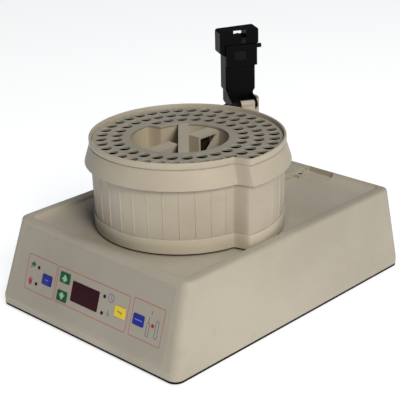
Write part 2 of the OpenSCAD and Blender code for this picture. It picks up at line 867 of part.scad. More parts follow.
module tube_holes(d, low, high) {
    for (a = hole_angles) rotate([0, 0, a]) translate([hole_r(a), 0, 0]) rod(d / 2, low, high);
}

module rack_guide_plate() {
    color(plate_grey) on_rack() difference() {
        edge_slab(-rack_wall - fit_gap, plate_low, plate_top);
        well_slab(-well_wall, plate_low - over, plate_top + over);
        tube_holes(hole_d, plate_low - over, plate_top + over);
    }
}

module rack_rim() {
    color(rack_beige) on_rack() difference() {
        edge_slab(0, band_low, rim_top);
        edge_slab(-rack_wall, band_low - over, rim_top + over);
    }
}

module rack_collar() {
    color(rack_beige) on_rack() difference() {
        tapered_slab(collar_flare, -0.6, collar_low, band_low);
        tapered_slab(collar_flare - rack_wall, -1.7, collar_low - 0.01, band_low + 0.01);
    }
}

body_low = rack_low + 0.2;
body_out = -body_inset;
floor_t = 3;
bead_w = 1.8;
bead_out = 0.7;

// Straight beads up the outside of the bowl, from the foot ring to just under the collar
module beads() {
    low = rack_low + foot_ring_h;
    high = collar_low + 6;
    for (i = [0:bead_count - 1]) {
        a = 9 + 360 / bead_count * i;
        if (a < 360 - step_span - 2) rotate([0, 0, a])
            translate([edge_r_at(a) + body_out - 1.5, -bead_w / 2, low]) cube([1.5 + bead_out, bead_w, high - low]);
    }
}

// The tubes stand between the bowl and the well's wall
module rack_bowl() {
    color(rack_beige) on_rack() difference() {
        union() {
            edge_slab(body_out, body_low, plate_low);
            beads();
        }
        edge_slab(body_out - rack_wall, floor_low + floor_t, plate_low + over);
        edge_slab(body_out - rack_wall, body_low - over, floor_low);
        rod(12 + seat_gap, floor_low - over, floor_low + floor_t + over);
        rotate([0, 0, -step_turn]) for (a = [0, 180]) rotate([0, 0, a]) translate([dog_at, 0, 0])
            rod(dog_r + seat_gap, floor_low - over, floor_low + floor_t + over);
    }
}

module rack_well_wall() {
    color(rack_beige) on_rack() difference() {
        well_slab(0, floor_low + floor_t, plate_low);
        well_slab(-well_wall, floor_low + floor_t - over, plate_low + over);
    }
}

module rack_foot_ring() {
    color(rack_beige) on_rack() difference() {
        edge_slab(body_out + foot_ring_out, rack_low, rack_low + foot_ring_h - 0.4);
        edge_slab(body_out + 0.1, rack_low - over, rack_low + foot_ring_h + over);
    }
}

pad_low = floor_low + floor_t;
pad_t = 2;
module tube_rest_pad() {
    color([0.30, 0.30, 0.30]) on_rack() difference() {
        edge_slab(body_out - rack_wall - seat_gap, pad_low, pad_low + pad_t);
        well_slab(seat_gap, pad_low - over, pad_low + pad_t + over);
    }
}

mid_low = rack_low + rack_h * 0.45;
module rack_mid_guide() {
    color(plate_grey) on_rack() difference() {
        edge_slab(body_out - rack_wall - seat_gap, mid_low, mid_low + plate_t);
        well_slab(seat_gap, mid_low - over, mid_low + plate_t + over);
        tube_holes(hole_d, mid_low - over, mid_low + plate_t + over);
    }
}

// Pillars between the rings of tubes carry the middle guide
module guide_pillars() {
    color(plate_grey) on_rack() for (i = [4:6:34]) {
        a = (hole_angles[i] + hole_angles[i + 1]) / 2;
        rotate([0, 0, a]) translate([hole_r(a) - ring_pitch / 2, 0, 0]) rod(2, pad_low + pad_t, mid_low);
    }
}

bar_turn = 134.6;
grip_start = 16;
grip_depth = 34;
module rack_handle() {
    reach = hole_r(last_angle) - edge_margin + ring_pitch;
    color(rack_beige) on_rack() intersection() {
        rotate([0, 0, -step_turn]) union() {
            // Bar across the well, flush with the guide plate
            rotate([0, 0, bar_turn]) difference() {
                translate([-reach, -bar_w / 2, plate_top - grip_depth])
                    cube([2 * reach, bar_w, grip_depth]);
                translate([-reach, -bar_w / 2 + 3, plate_top - grip_depth - over])
                    cube([2 * reach, bar_w - 6, grip_depth - 2]);
            }
            // Two hollow grip blocks, each open on one side for the fingers
            for (a = [0, 180]) rotate([0, 0, a]) difference() {
                translate([-grip_w / 2, grip_start, plate_top - grip_depth])
                    cube([grip_w, reach, grip_depth - grip_drop]);
                translate([-grip_w / 2 + 3, grip_start + 3, plate_top - grip_depth - over])
                    cube([grip_w - 6, reach, grip_depth - grip_drop - 2]);
                // Finger opening, cut away under the block's top
                translate([0, grip_start + 3, 0]) rotate([90, 0, 90]) linear_extrude(grip_w)
                    polygon([[0, plate_top - grip_drop - 3], [30, plate_top - grip_drop - 3],
                        [6, plate_top - grip_depth + 4], [0, plate_top - grip_depth + 4]]);
            }
        }
        well_slab(-well_wall, plate_top - grip_depth - over, plate_top + over);
    }
}

// ---- Arm ----

post_low = deck_z + plinth_h + 1;
post_top = deck_z + post_h;
hinge_z = deck_z + hinge_up;
hinge_y = -hinge_out;
// The post's one lug and the arm's two knuckles, from side to side
lug_left = -5;
lug_right = 13;
knuckle_r = 4.8;
knuckle_gap = 0.6;
knuckle_end = 17;
cheek_up = 11.5;

module on_arm() {
    at_post() rotate([0, 0, arm_turn]) children();
}

module hinge_axis() {
    translate([0, hinge_y, hinge_z]) children();
}

// Round post: tube, floor, journal down to the gear, hinge lug and one raised cheek
module arm_post() {
    color(rack_beige) on_arm() difference() {
        union() {
            difference() {
                rod(post_r, post_low, post_top + cheek_up);
                rod(post_r - post_wall, post_low + 4, post_top + cheek_up + over);
                // Only the cheek rises above the tube
                translate([-2 * post_r, -2 * post_r, post_top])
                    cube([2 * post_r + arm_half - 1, 4 * post_r, cheek_up + over]);
                for (sy = [-1, 1]) translate([0, sy * (9 + post_r) - post_r, post_top])
                    cube([2 * post_r, 2 * post_r, cheek_up + over]);
            }
            rod(journal_r, swing_low - 2, post_low + 0.01);
            intersection() {
                hinge_axis() {
                    cross_rod(knuckle_r + 0.2, lug_left, lug_right);
                    translate([lug_left, -knuckle_r - 4, -knuckle_r - 14])
                        cube([lug_right - lug_left, 2 * knuckle_r + 2, knuckle_r + 13]);
                }
                rod(post_r, 0, post_top + cheek_up);
            }
        }
        hinge_axis() cross_rod(hinge_pin_r + fit_gap, lug_left - over, lug_right + over);
    }
}

module post_cap() {
    color(black) on_arm() difference() {
        rod(post_r - post_wall - fit_gap, post_top - 11, post_top - 8);
        hinge_axis() translate([lug_left - seat_gap, -post_r, -knuckle_r - 16])
            cube([lug_right - lug_left + 2 * seat_gap, post_r + knuckle_r - 2 + seat_gap, 30]);
    }
}

module hinge_pin() {
    color(steel) on_arm() hinge_axis() cross_rod(hinge_pin_r, 1 - knuckle_end, knuckle_end - 0.5);
}

// Outline of the arm, upright, seen along its thickness: across, and up from the hinge pin
head_low = 60;
head_left = arm_half + 7;
head_right = arm_half + 5;
block_right = arm_half + 2.4;
foot_half = arm_half - 2.5;
arm_foot = post_top + 0.8 - hinge_z;
arm_points = [[-foot_half + 2, arm_foot], [-foot_half, arm_foot + 4], [-foot_half, 12], [-arm_half, 16],
    [-arm_half, head_low], [-head_left, head_low + 4.5], [-head_left, arm_len - 4], [-head_left + 2, arm_len - 2],
    [head_right - 2, arm_len], [head_right, arm_len - 2], [head_right, 75.5], [block_right, 73.5],
    [block_right, 47], [arm_half, 46], [arm_half, 16], [foot_half, 12], [foot_half, arm_foot + 4],
    [foot_half - 2, arm_foot]];
cover_t = 2;
slot_w = 17;
slot_h = 9;
slot_up = 88;
nozzle_x = 4;
nozzle_r = 3.5;
knob_up = 70;
knob_deep = 6;
cover_screws_at = [[0, 22], [-12, 64], [12, 64], [-17, 79]];

// Slab of the arm's outline between two depths behind its front face
module arm_slab(front, back) {
    translate([0, back, hinge_z]) rotate([90, 0, 0]) linear_extrude(back - front) polygon(arm_points);
}

module arm_slot() {
    translate([-slot_w / 2, -over, hinge_z + slot_up - slot_h / 2])
        cube([slot_w, arm_t + 2 * over, slot_h]);
}

module arm_shell() {
    color(black) on_arm() difference() {
        union() {
            arm_slab(0, arm_t - cover_t);
            // Knuckles round the hinge pin, one on each side of the post's lug
            for (k = [[-knuckle_end, lug_left - knuckle_gap], [lug_right + knuckle_gap, knuckle_end]]) {
                hinge_axis() cross_rod(knuckle_r, k[0], k[1]);
                translate([k[0], 0, hinge_z]) rotate([90, 0, 90]) linear_extrude(k[1] - k[0])
                    polygon([[hinge_y, -knuckle_r], [1, -knuckle_r + 1], [1, 10], [hinge_y, knuckle_r]]);
            }
        }
        hinge_axis() cross_rod(hinge_pin_r + fit_gap, -post_r, post_r);
        // Hollow of the stem and of the head, open at the back
        translate([-arm_half + arm_wall, arm_wall, hinge_z + 18])
            cube([2 * arm_half - 2 * arm_wall, arm_t, head_low - 20]);
        translate([-arm_half + arm_wall, arm_wall, hinge_z + head_low])
            cube([2 * arm_half - 2 * arm_wall, arm_t, nozzle_out - nozzle_r - 2 - head_low]);
        arm_slot();
        // Nozzle and knob
        translate([nozzle_x, 0, hinge_z + nozzle_out]) rotate([-90, 0, 0]) rod(nozzle_r + fit_gap, -over, arm_t + over);
        translate([0, knob_deep, hinge_z + knob_up]) cross_rod(1.5 + fit_gap, 12, head_right + over);
    }
}

module arm_cover() {
    color(black) on_arm() difference() {
        arm_slab(arm_t - cover_t, arm_t);
        arm_slot();
        for (p = cover_screws_at) translate([p[0], 0, hinge_z + p[1]]) rotate([-90, 0, 0])
            rod(1.5 + fit_gap, 0, arm_t + over);
        translate([nozzle_x, 0, hinge_z + nozzle_out]) rotate([-90, 0, 0]) rod(nozzle_r + fit_gap, 0, arm_t + over);
    }
}

module arm_cover_screws() {
    color(steel) on_arm() for (p = cover_screws_at) translate([p[0], 0, hinge_z + p[1]]) rotate([-90, 0, 0]) {
        rod(2.6, arm_t, arm_t + 1.2);
        rod(1.5, arm_t - cover_t, arm_t + 0.01);
    }
}

block_low = 47;
block_high = 74;
block_out = 3;
module drop_head() {
    color([0.09, 0.09, 0.10]) on_arm() difference() {
        translate([-arm_half + 0.2, -block_out, hinge_z + block_low])
            cube([arm_half + block_right - 0.4, block_out, block_high - block_low]);
        translate([-8, -block_out - over, hinge_z + block_low + 8]) cube([16, 1.5 + over, 12]);
    }
}

module sensor_window() {
    color([0.25, 0.05, 0.05]) on_arm()
        translate([-8 + seat_gap, -block_out + 0.5, hinge_z + block_low + 8 + seat_gap])
        cube([16 - 2 * seat_gap, 1, 12 - 2 * seat_gap]);
}

module delivery_nozzle() {
    color([0.20, 0.16, 0.13]) on_arm() translate([nozzle_x, 0, hinge_z + nozzle_out]) rotate([-90, 0, 0]) difference() {
        union() {
            rod(nozzle_r, -0.01, arm_t + 1);
            rod(2.6, -3, 0);
            rod(nozzle_r + 1, arm_t, arm_t + 2.5);
        }
        rod(1, -3 - over, arm_t + 3 + over);
    }
}

knob_r = 2.8;
module clamp_knob() {
    color(black) on_arm() translate([0, knob_deep, hinge_z + knob_up]) {
        cross_rod(knob_r, block_right + 0.3, block_right + 7.6);
        cross_rod(1.5, arm_half - arm_wall - 3, block_right + 0.31);
    }
}

on_feet() top_housing();
on_feet() bottom_pan();
on_feet() rubber_feet();
on_feet() pan_screws();
on_feet() front_overlay();
on_feet() display_window();
on_feet() display_module();
on_feet() indicator_leds();
on_feet() key_board();
on_feet() key_switches();
on_feet() board_screws();
on_feet() run_key();
on_feet() up_key();
on_feet() down_key();
on_feet() mode_key();
on_feet() manual_key();
on_feet() control_board();
on_feet() board_pillars();
on_feet() transformer();
on_feet() rear_panel();
on_feet() mains_inlet();
on_feet() switch_frame();
on_feet() power_rocker();
on_feet() fuse_holder();
on_feet() signal_socket();
on_feet() bearing_housing();
on_feet() spindle_bearings();
on_feet() turntable();
on_feet() rack_drive_gear();
on_feet() rack_motor();
on_feet() rack_motor_bracket();
on_feet() rack_pinion();
on_feet() swing_motor();
on_feet() swing_motor_bracket();
on_feet() swing_pinion();
on_feet() rack_bowl();
on_feet() rack_well_wall();
on_feet() rack_foot_ring();
on_feet() tube_rest_pad();
on_feet() guide_pillars();
on_feet() rack_mid_guide();
on_feet() rack_collar();
on_feet() rack_guide_plate();
on_feet() rack_rim();
on_feet() rack_handle();
on_feet() arm_plinth();
on_feet() plinth_screw();
on_feet() post_bushing();
on_feet() arm_post();
on_feet() post_cap();
on_feet() swing_gear();
on_feet() hinge_pin();
on_feet() arm_shell();
on_feet() arm_cover();
on_feet() arm_cover_screws();
on_feet() drop_head();
on_feet() sensor_window();
on_feet() delivery_nozzle();
on_feet() clamp_knob();
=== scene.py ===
import json
import math

import bmesh
import bpy
from mathutils import Matrix, Vector


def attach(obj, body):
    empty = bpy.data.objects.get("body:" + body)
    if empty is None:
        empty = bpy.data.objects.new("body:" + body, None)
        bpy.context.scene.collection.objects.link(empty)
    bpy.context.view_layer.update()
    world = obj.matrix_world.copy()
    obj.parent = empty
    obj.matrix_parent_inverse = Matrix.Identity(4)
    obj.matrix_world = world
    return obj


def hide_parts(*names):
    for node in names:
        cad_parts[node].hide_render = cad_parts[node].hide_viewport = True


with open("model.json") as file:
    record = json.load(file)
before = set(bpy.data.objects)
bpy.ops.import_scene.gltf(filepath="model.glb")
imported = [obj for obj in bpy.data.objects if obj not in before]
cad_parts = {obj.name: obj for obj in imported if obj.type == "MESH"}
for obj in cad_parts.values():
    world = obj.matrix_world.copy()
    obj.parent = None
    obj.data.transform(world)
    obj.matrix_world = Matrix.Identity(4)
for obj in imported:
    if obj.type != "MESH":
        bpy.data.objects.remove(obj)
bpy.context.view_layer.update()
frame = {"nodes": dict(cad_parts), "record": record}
nodes = frame["nodes"]
scene = bpy.context.scene

MM = 0.001

# ---------------------------------------------------------------- materials


def lin(rgb):
    """sRGB 0..255 to linear, with alpha."""
    out = []
    for v in rgb:
        v = v / 255
        out.append(v / 12.92 if v <= 0.04045 else ((v + 0.055) / 1.055) ** 2.4)
    return (*out, 1.0)


def new_material(name):
    m = bpy.data.materials.new(name)
    m.use_nodes = True
    tree = m.node_tree
    shader = tree.nodes["Principled BSDF"]
    return m, tree, shader


def noise(tree, coords, scale, detail=3.0, rough=0.55):
    n = tree.nodes.new("ShaderNodeTexNoise")
    n.inputs["Scale"].default_value = scale
    n.inputs["Detail"].default_value = detail
    n.inputs["Roughness"].default_value = rough
    tree.links.new(coords, n.inputs["Vector"])
    return n.outputs["Fac"]


def ramp(tree, fac, stops):
    r = tree.nodes.new("ShaderNodeValToRGB")
    tree.links.new(fac, r.inputs["Fac"])
    el = r.color_ramp.elements
    while len(el) < len(stops):
        el.new(0.5)
    for e, (pos, col) in zip(el, stops):
        e.position = pos
        e.color = col
    return r.outputs["Color"]


def mix(tree, fac, a, b, mode="MIX"):
    n = tree.nodes.new("ShaderNodeMix")
    n.data_type = "RGBA"
    n.blend_type = mode
    for value, socket in ((fac, n.inputs[0]), (a, n.inputs[6]), (b, n.inputs[7])):
        if hasattr(value, "is_linked") or isinstance(value, bpy.types.NodeSocket):
            tree.links.new(value, socket)
        else:
            socket.default_value = value
    return n.outputs[2]


def moulded(name, rgb, rough=0.5, grain=2600.0, bump=0.06, tone=10, stain=None, coat=0.0, shine=0.5):
    """Moulded plastic: a fine spark-eroded grain, slow tone changes and faint dust or stains."""
    m, tree, shader = new_material(name)
    coords = tree.nodes.new("ShaderNodeTexCoord").outputs["Object"]
    slow = noise(tree, coords, 9.0, 4.0)
    fine = noise(tree, coords, grain, 2.0)
    low = lin([max(0, c - tone) for c in rgb])
    high = lin([min(255, c + tone * 0.6) for c in rgb])
    colour = ramp(tree, slow, [(0.35, low), (0.65, high)])
    if stain:
        spots = noise(tree, coords, 34.0, 6.0, 0.7)
        mask = ramp(tree, spots, [(0.60, (0, 0, 0, 1)), (0.78, (0.5, 0.5, 0.5, 1))])
        colour = mix(tree, mask, colour, lin(stain))
    speck = ramp(tree, fine, [(0.3, (0.93, 0.93, 0.93, 1)), (0.7, (1, 1, 1, 1))])
    colour = mix(tree, 1.0, colour, speck, "MULTIPLY")
    tree.links.new(colour, shader.inputs["Base Color"])
    vary = tree.nodes.new("ShaderNodeMapRange")
    tree.links.new(noise(tree, coords, 26.0, 5.0), vary.inputs["Value"])
    vary.inputs["To Min"].default_value = rough - 0.07
    vary.inputs["To Max"].default_value = rough + 0.09
    tree.links.new(vary.outputs["Result"], shader.inputs["Roughness"])
    b = tree.nodes.new("ShaderNodeBump")
    b.inputs["Strength"].default_value = bump
    b.inputs["Distance"].default_value = 0.0003
    tree.links.new(fine, b.inputs["Height"])
    tree.links.new(b.outputs["Normal"], shader.inputs["Normal"])
    shader.inputs["Coat Weight"].default_value = coat
    shader.inputs["Specular IOR Level"].default_value = shine
    return m


def metal(name, rgb, rough=0.3, scratch=400.0):
    m, tree, shader = new_material(name)
    coords = tree.nodes.new("ShaderNodeTexCoord").outputs["Object"]
    stretch = tree.nodes.new("ShaderNodeMapping")
    stretch.inputs["Scale"].default_value = (1.0, 1.0, 14.0)
    tree.links.new(coords, stretch.inputs["Vector"])
    lines = noise(tree, stretch.outputs["Vector"], scratch, 4.0)
    dark = lin([c * 0.85 for c in rgb])
    tree.links.new(ramp(tree, lines, [(0.3, dark), (0.7, lin(rgb))]), shader.inputs["Base Color"])
    vary = tree.nodes.new("ShaderNodeMapRange")
    tree.links.new(lines, vary.inputs["Value"])
    vary.inputs["To Min"].default_value = rough - 0.1
    vary.inputs["To Max"].default_value = rough + 0.12
    tree.links.new(vary.outputs["Result"], shader.inputs["Roughness"])
    shader.inputs["Metallic"].default_value = 1.0
    return m


BEIGE = (172, 164, 148)
RACK = (177, 167, 149)
M = {
    "housing": moulded("housing_plastic", BEIGE, 0.52, 2200, 0.10, 7, (152, 142, 122)),
    "rack": moulded("rack_plastic", RACK, 0.50, 2600, 0.08, 7, (154, 142, 120)),
    "plate": moulded("guide_plate_plastic", (158, 152, 138), 0.48, 2600, 0.08, 8, (146, 136, 116)),
    "film": moulded("panel_film", (166, 159, 145), 0.42, 3400, 0.05, 5),
    "black": moulded("black_plastic", (7, 7, 8), 0.42, 2400, 0.12, 2, shine=0.06),
    "pan": moulded("pan_paint", (9, 9, 9), 0.6, 2400, 0.15, 3, shine=0.1),
    "rubber": moulded("foot_rubber", (16, 16, 16), 0.75, 1800, 0.2, 3),
    "steel": metal("bright_steel", (176, 178, 182), 0.28),
    "dark_screw": metal("dark_screw", (52, 50, 48), 0.4),
    "display": moulded("display_red", (47, 4, 16), 0.2, 3000, 0.01, 2, shine=0.12),
    "led": moulded("led_red", (30, 6, 8), 0.25, 3000, 0.02, 2, shine=0.2),
    "lens": moulded("lens_dark", (13, 7, 8), 0.2, 3000, 0.01, 2, shine=0.1),
    "board": moulded("solder_mask", (18, 84, 44), 0.35, 900, 0.05, 8),
    "pillar": moulded("pillar_nylon", (212, 208, 194), 0.5),
    "iron": moulded("laminated_iron", (84, 78, 70), 0.55, 700, 0.3, 14),
    "rear": moulded("rear_paint", (150, 147, 138), 0.5, 1500, 0.15, 7),
    "blue": moulded("key_blue", (28, 42, 142), 0.42, 3000, 0.05, 5, shine=0.2),
    "green": moulded("key_green", (8, 84, 48), 0.42, 3000, 0.05, 4, shine=0.2),
    "yellow": moulded("key_yellow", (230, 204, 58), 0.42, 3000, 0.05, 8, shine=0.2),
    # Painted shade: a dark brown copy of the rack plastic for hollows, undersides and gaps that lie in shade
    "painted_shade": moulded("rack_painted_shade", (44, 38, 29), 0.7, 2000, 0.05, 4, shine=0.1),
    # Painted light: a lighter, warmer copy of the rack plastic for the well's lit inner wall, with real
    # faint stains
    "well": moulded("well_painted_light", (186, 174, 150), 0.5, 2600, 0.08, 7, (156, 142, 114)),
    "turntable": metal("turntable_metal", (80, 80, 83), 0.45),
    "gear": moulded("gear_nylon", (222, 216, 200), 0.45, 1800, 0.06, 6),
    "motor": moulded("motor_paint", (42, 42, 44), 0.45, 1500, 0.15, 5),
    "bronze": metal("bush_bronze", (160, 124, 70), 0.38),
    "nozzle": moulded("nozzle_brown", (24, 19, 14), 0.35, 2400, 0.06, 4, shine=0.2),
    # Painted light: a lighter copy of the rack plastic for the foot band, offsetting the shade at its base,
    # with real faint stains
    "foot_band": moulded("foot_band_painted_light", (190, 180, 161), 0.50, 2600, 0.08, 6, (166, 154, 132)),
    "led_lit": moulded("led_lit_red", (176, 20, 30), 0.25, 3000, 0.02, 2, shine=0.2),
}
SLOT_LOOK = {
    "housing_beige": "housing", "rack_beige": "rack", "plate_grey": "plate", "panel_film": "film",
    "black_plastic": "black", "pan_steel": "pan", "foot_rubber": "rubber", "bright_steel": "steel",
    "dark_screw": "dark_screw", "red_window": "display", "board_green": "board",
    "pillar_plastic": "pillar", "coil_iron": "iron", "rear_paint": "rear", "key_blue": "blue",
    "key_green": "green", "key_yellow": "yellow", "turntable_dark": "turntable",
    "gear_plastic": "gear", "motor_dark": "motor", "bush_bronze": "bronze", "nozzle_brown": "nozzle",
}
for part in frame["record"]["subparts"]:
    ob = nodes[part["node"]]
    ob.data.materials.clear()
    ob.data.materials.append(M[SLOT_LOOK[part["material_slot"]]])
nodes["indicator_leds"].data.materials[0] = M["led"]
nodes["sensor_window"].data.materials[0] = M["lens"]

# ------------------------------------------------------------------- camera

# Found from the holes of the rack and the edges of the housing in the photograph
RIGHT = Vector((0.7232, 0.6903, -0.0222))
UP = Vector((-0.2428, 0.2841, 0.9275))
BACK = Vector((0.6466, -0.6654, 0.3731))
EYE = Vector((0.9140, -0.9477, 0.6442))
SENSOR = 36.0
FOCAL_PIXELS = 1153.83
FRAME_PIXELS = 400

cam_data = bpy.data.cameras.new("camera")
cam_data.sensor_width = SENSOR
cam_data.lens = FOCAL_PIXELS / FRAME_PIXELS * SENSOR
cam_data.clip_start = 0.05
cam = bpy.data.objects.new("camera", cam_data)
scene.collection.objects.link(cam)
turn = Matrix((RIGHT, UP, BACK)).transposed().to_4x4()
cam.matrix_world = Matrix.Translation(EYE) @ turn
scene.camera = cam

# ------------------------------------------------------------ floor and light

floor_mesh = bpy.data.meshes.new("floor")
S = 6.0
floor_mesh.from_pydata([(-S, -S, 0), (S, -S, 0), (S, S, 0), (-S, S, 0)], [], [(0, 1, 2, 3)])
floor = bpy.data.objects.new("floor", floor_mesh)
scene.collection.objects.link(floor)
fm, _, fshader = new_material("floor_paper")
fshader.inputs["Base Color"].default_value = (0.5, 0.5, 0.5, 1)
fshader.inputs["Emission Color"].default_value = (1.0, 1.0, 1.0, 1)
fshader.inputs["Emission Strength"].default_value = 0.74
fshader.inputs["Roughness"].default_value = 0.9
floor_mesh.materials.append(fm)

world = bpy.data.worlds.new("world")
scene.world = world
world.use_nodes = True
world.node_tree.nodes["Background"].inputs["Color"].default_value = (0.80, 0.93, 1.12, 1)
world.node_tree.nodes["Background"].inputs["Strength"].default_value = 0.11


def area(name, place, target, size, power, colour=(1, 1, 1)):
    data = bpy.data.lights.new(name, "AREA")
    data.shape = "SQUARE"
    data.size = size
    data.energy = power
    data.color = colour
    ob = bpy.data.objects.new(name, data)
    scene.collection.objects.link(ob)
    place = Vector(place)
    ob.location = place
    ob.rotation_euler = (Vector(target) - place).to_track_quat("-Z", "Y").to_euler()
    return ob


area("key_light", (1.98, -0.92, 1.54), (0, 0, 0.12), 0.8, 47, (1.0, 0.95, 0.87))
area("top_light", (0.5, 0.3, 2.5), (0, 0, 0.1), 1.3, 21, (0.95, 0.97, 1.0))

scene.view_settings.view_transform = "Standard"
scene.view_settings.look = "None"

# ------------------------------------------------------------- mesh helpers


def add_object(name, mesh, look, body, sharp=32):
    mesh.materials.append(M[look])
    for p in mesh.polygons:
        p.use_smooth = True
    mesh.set_sharp_from_angle(angle=math.radians(sharp))
    ob = bpy.data.objects.new(name, mesh)
    scene.collection.objects.link(ob)
    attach(ob, body)
    return ob


def mesh_from(name, points, faces):
    """A mesh from points in millimetres, with its faces turned outwards."""
    mesh = bpy.data.meshes.new(name)
    mesh.from_pydata([(x * MM, y * MM, z * MM) for x, y, z in points], [], faces)
    bm = bmesh.new()
    bm.from_mesh(mesh)
    bmesh.ops.recalc_face_normals(bm, faces=bm.faces)
    bm.to_mesh(mesh)
    bm.free()
    return mesh


def loft(name, rings, caps=(False, False), closed=False):
    """Joins rings of equal length, in order. closed joins the last ring to the first."""
    n = len(rings[0])
    points = [p for ring in rings for p in ring]
    faces = []
    count = len(rings)
    for k in range(count if closed else count - 1):
        a, b = k * n, (k + 1) % count * n
        faces += [(a + i, a + (i + 1) % n, b + (i + 1) % n, b + i) for i in range(n)]
    if caps[0]:
        faces.append(tuple(range(n)))
    if caps[1]:
        faces.append(tuple(range((count - 1) * n, count * n)))
    return mesh_from(name, points, faces)


def apply_modifiers(ob):
    deps = bpy.context.evaluated_depsgraph_get()
    mesh = bpy.data.meshes.new_from_object(ob.evaluated_get(deps))
    ob.modifiers.clear()
    old = ob.data
    ob.data = mesh
    bpy.data.meshes.remove(old)


def arc(cx, cy, r, a0, a1, n):
    return [(cx + r * math.cos(math.radians(a0 + (a1 - a0) * i / n)),
             cy + r * math.sin(math.radians(a0 + (a1 - a0) * i / n))) for i in range(n + 1)]


# -------------------------------------------------------------------- housing

FOOT = 5.4
LIP = 15.0
RIM = 110.0
DECK = 103.0
HALF_W, HALF_D = 151.0, 206.0
DRAFT, FRONT, REAR = 8.0, 31.0, 15.0
CORNER = 12.0
EDGE = 4.0


def rect_ring(half, front, back, r, z, steps=10):
    pts = []
    for cx, cy, a in ((half - r, back - r, 0), (-half + r, back - r, 90),
                      (-half + r, front + r, 180), (half - r, front + r, 270)):
        pts += arc(cx, cy, r, a, a + 90, steps)
    return [(x, y, z) for x, y in pts]


def shell_ring(z, inset=0.0):
    lean = max(0.0, (z - LIP) / (RIM - LIP))
    return rect_ring(HALF_W - DRAFT * lean - inset, -HALF_D + FRONT * lean + inset,
                     HALF_D - REAR * lean - inset, CORNER - inset, z)


DECK_HALF, DECK_FRONT, DECK_BACK, DECK_R = 129.0, -166.0, 182.0, 6.0
NOTCH_LEFT, NOTCH_RIGHT, NOTCH_FRONT, NOTCH_BACK = 15.0, 57.0, 174.0, 188.0


def deck_ring(grow, z, slope=0.0):
    """The sunk deck's outline. It climbs gently to its left rim, and to a thin rim right of the notch."""
    ring = []
    for x, y, h in rect_ring(DECK_HALF + grow, DECK_FRONT - grow, DECK_BACK + grow, DECK_R + grow, z):
        left = x < 0
        back_right = x > NOTCH_RIGHT and y > 0
        ring.append((x + (max(0.0, -slope) if left else 0.0), y + (slope if back_right else 0.0), h))
    return ring


# From the foot up the sides, round the rim's edge, and down into the sunk deck
rings = [shell_ring(FOOT, 0.5)]
rings += [shell_ring(z) for z in (FOOT + 0.5, LIP - 1.0, LIP, LIP + 1.5, 45.0, 75.0, RIM - EDGE - 1.0)]
EDGE_STEPS = 6
for i in range(EDGE_STEPS + 1):
    t = math.radians(90 / EDGE_STEPS * i)
    z = RIM - EDGE + EDGE * math.sin(t)
    lean = (RIM - EDGE - LIP) / (RIM - LIP)
    inset = EDGE * (1 - math.cos(t))
    rings.append(rect_ring(HALF_W - DRAFT * lean - inset, -HALF_D + FRONT * lean + inset,
                           HALF_D - REAR * lean - inset, CORNER - inset, z))
for grow, z, slope in ((1.0, RIM, 3.0), (0.3, RIM - 0.25, 3.0), (0.0, RIM - 0.8, 3.0),
                       (0.0, DECK + 2.4, -1.0), (-0.8, DECK + 1.0, -8.0), (-2.4, DECK, -14.0)):
    rings.append(deck_ring(grow, z, slope))
housing = add_object("housing_shell", loft("housing_shell", rings, (True, True)), "housing", "housing")


def box_points(x0, x1, y0, y1, z0, z1):
    pts = [(x, y, z) for x in (x0, x1) for y in (y0, y1) for z in (z0, z1)]
    faces = [(0, 1, 3, 2), (4, 6, 7, 5), (0, 4, 5, 1), (2, 3, 7, 6), (0, 2, 6, 4), (1, 5, 7, 3)]
    return pts, faces


rear_lean = math.atan(REAR / (RIM - LIP))
front_lean = math.atan(FRONT / (RIM - LIP))


REAR_X, REAR_UP = 62.0, 44.0


def rear_point(u, v, w):
    """On the rear face: u to the left as seen from the front, v up from the connectors' middle, w out."""
    up = v + REAR_UP
    return (REAR_X - u, HALF_D - math.sin(rear_lean) * up + math.cos(rear_lean) * w,
            LIP + math.cos(rear_lean) * up + math.sin(rear_lean) * w)


def front_point(u, v, w):
    """On the control panel: u to the right, v up the slope from the lip, w out."""
    return (u, -HALF_D + math.sin(front_lean) * v - math.cos(front_lean) * w,
            LIP + math.cos(front_lean) * v + math.sin(front_lean) * w)


def cut(target, corners, place=None):
    """Cuts a box out of the target. place moves each of its corners to the face that it belongs to."""
    points, faces = box_points(*corners)
    if place:
        points = [place(*p) for p in points]
    tool = bpy.data.objects.new("cut", mesh_from("cut", points, faces))
    scene.collection.objects.link(tool)
    mod = target.modifiers.new("cut", "BOOLEAN")
    mod.operation = "DIFFERENCE"
    mod.solver = "EXACT"
    mod.object = tool
    apply_modifiers(target)
    bpy.data.objects.remove(tool)


# The tubing notch, the connector plate's seat and the window behind it
cut(housing, (NOTCH_LEFT, NOTCH_RIGHT, NOTCH_FRONT, NOTCH_BACK, DECK, RIM + 5))
cut(housing, (-70.3, 70.3, -22.3, 22.3, -1.5, 6.0), rear_point)
cut(housing, (-66.0, 58.0, -17.0, 17.0, -30.0, 1.0), rear_point)
housing.data.set_sharp_from_angle(angle=math.radians(32))
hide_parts("top_housing")

# ----------------------------------------------------------------------- rack

AX, AY = 8.0, -40.5
STEP_TURN = -8.0
FIRST_R, RING_PITCH, FIRST_ANGLE = 108.2, 18.0, 8.3
MARGIN, STEP_SPAN, WELL_SPAN = 14.2, 6.5, 9.0
TUBES, TUBE_PITCH, HOLE_D = 80, 16.9, 13.5
RIM_TOP, PLATE_TOP, PLATE_LOW = 214.3, 209.8, 206.8
COLLAR_LOW, RACK_LOW = 183.8, 104.3


def hole_radius(a):
    return FIRST_R - RING_PITCH * (a - FIRST_ANGLE) / 360


def smooth_step(t):
    return t * t * (3 - 2 * t)


hole_angles = [FIRST_ANGLE]
while len(hole_angles) < TUBES:
    last = hole_angles[-1]
    hole_angles.append(last + math.degrees(TUBE_PITCH / hole_radius(last)))
last_angle = hole_angles[-1] + 12


def edge_radius(a):
    r = hole_radius(a) + MARGIN
    t = (a - 360 + STEP_SPAN) / STEP_SPAN
    return r + RING_PITCH * smooth_step(t) if t > 0 else r


